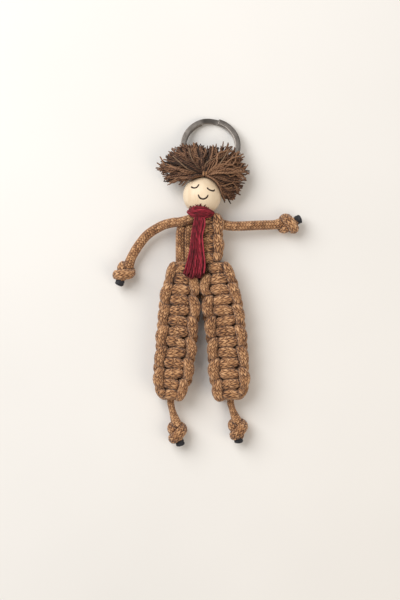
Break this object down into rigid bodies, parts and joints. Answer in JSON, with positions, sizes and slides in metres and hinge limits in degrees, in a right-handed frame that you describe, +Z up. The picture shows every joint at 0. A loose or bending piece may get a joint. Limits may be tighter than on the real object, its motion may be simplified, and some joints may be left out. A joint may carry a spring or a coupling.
{
  "type": "yarn doll",
  "caption": "Knotted cord doll on a split key ring, with a wooden bead head, cut yarn hair, a yarn scarf, knotted hands and feet and dark sealed cord tips.",
  "frame": {"origin": "middle of the doll's underside as it lies on its back", "axes": "+X to the viewer's right, +Y from the feet to the ring, +Z up out of the doll's front"},
  "size_m": [0.1002, 0.1742, 0.02],
  "materials": {
    "tan_cord": "matt braided cotton cord",
    "pale_wood": "sanded, clear sealed",
    "dark_yarn": "matt wool yarn",
    "burgundy_yarn": "matt wool yarn",
    "steel": "plain spring steel",
    "black_seal": "melted and dipped"
  },
  "bodies": {
    "torso": {"hair_left": "dark_yarn", "hair_right": "dark_yarn", "hair_tie": "dark_yarn", "scarf_band": "burgundy_yarn", "torso_front_cord": "tan_cord", "torso_back_cord": "tan_cord", "core_cord_left": "tan_cord", "core_cord_right": "tan_cord", "side_cord_inner": "tan_cord", "side_cord_outer": "tan_cord"},
    "head": {"head_bead": "pale_wood"},
    "loop": {"hanging_loop": "tan_cord"},
    "ring": {"key_ring": "steel"},
    "scarf_end": {"scarf_tail": "burgundy_yarn"},
    "left_arm": {"left_arm_cord": "tan_cord", "left_hand_tip": "black_seal"},
    "right_arm": {"right_arm_cord": "tan_cord", "right_hand_tip": "black_seal"},
    "left_leg": {"left_leg_filler_left": "tan_cord", "left_leg_filler_right": "tan_cord", "left_leg_front_cord": "tan_cord", "left_leg_back_cord": "tan_cord"},
    "right_leg": {"right_leg_filler_left": "tan_cord", "right_leg_filler_right": "tan_cord", "right_leg_front_cord": "tan_cord", "right_leg_back_cord": "tan_cord"},
    "left_foot": {"left_ankle_cord": "tan_cord", "left_foot_tip": "black_seal"},
    "right_foot": {"right_ankle_cord": "tan_cord", "right_foot_tip": "black_seal"}
  },
  "joints": [
    {"name": "head_turn", "type": "hinge", "parent": "torso", "child": "head", "pos_m": [-0.00356, 0.04564, 0.01], "axis": [0, 1, 0], "continuous": true},
    {"name": "loop_swing", "type": "hinge", "parent": "torso", "child": "loop", "pos_m": [-0.00356, 0.05535, 0.01], "axis": [1, 0, 0], "range_deg": [-25, 2]},
    {"name": "ring_turn", "type": "hinge", "parent": "loop", "child": "ring", "pos_m": [0.00084, 0.07181, 0.00593], "axis": [0, 0.2989, 0.9543], "continuous": true},
    {"name": "scarf_lift", "type": "hinge", "parent": "torso", "child": "scarf_end", "pos_m": [-0.00426, 0.03284, 0.0165], "axis": [-1, 0, 0], "range_deg": [0, 65]},
    {"name": "left_shoulder", "type": "hinge", "parent": "torso", "child": "left_arm", "pos_m": [-0.01606, 0.03184, 0.008], "axis": [0, 0, 1], "range_deg": [-70, 5]},
    {"name": "right_shoulder", "type": "hinge", "parent": "torso", "child": "right_arm", "pos_m": [0.01036, 0.02994, 0.0085], "axis": [0, 0, 1], "range_deg": [-45, 35]},
    {"name": "left_hip", "type": "hinge", "parent": "torso", "child": "left_leg", "pos_m": [-0.01718, 0.01064, 0.00645], "axis": [0, 0, 1], "range_deg": [-20, 0]},
    {"name": "right_hip", "type": "hinge", "parent": "torso", "child": "right_leg", "pos_m": [0.00786, 0.01064, 0.00645], "axis": [0, 0, 1], "range_deg": [0, 20]},
    {"name": "left_ankle", "type": "hinge", "parent": "left_leg", "child": "left_foot", "pos_m": [-0.02016, -0.06336, 0.0058], "axis": [0, 0, 1], "range_deg": [-45, 25]},
    {"name": "right_ankle", "type": "hinge", "parent": "right_leg", "child": "right_foot", "pos_m": [0.01134, -0.06336, 0.0058], "axis": [0, 0, 1], "range_deg": [-25, 45]}
  ]
}
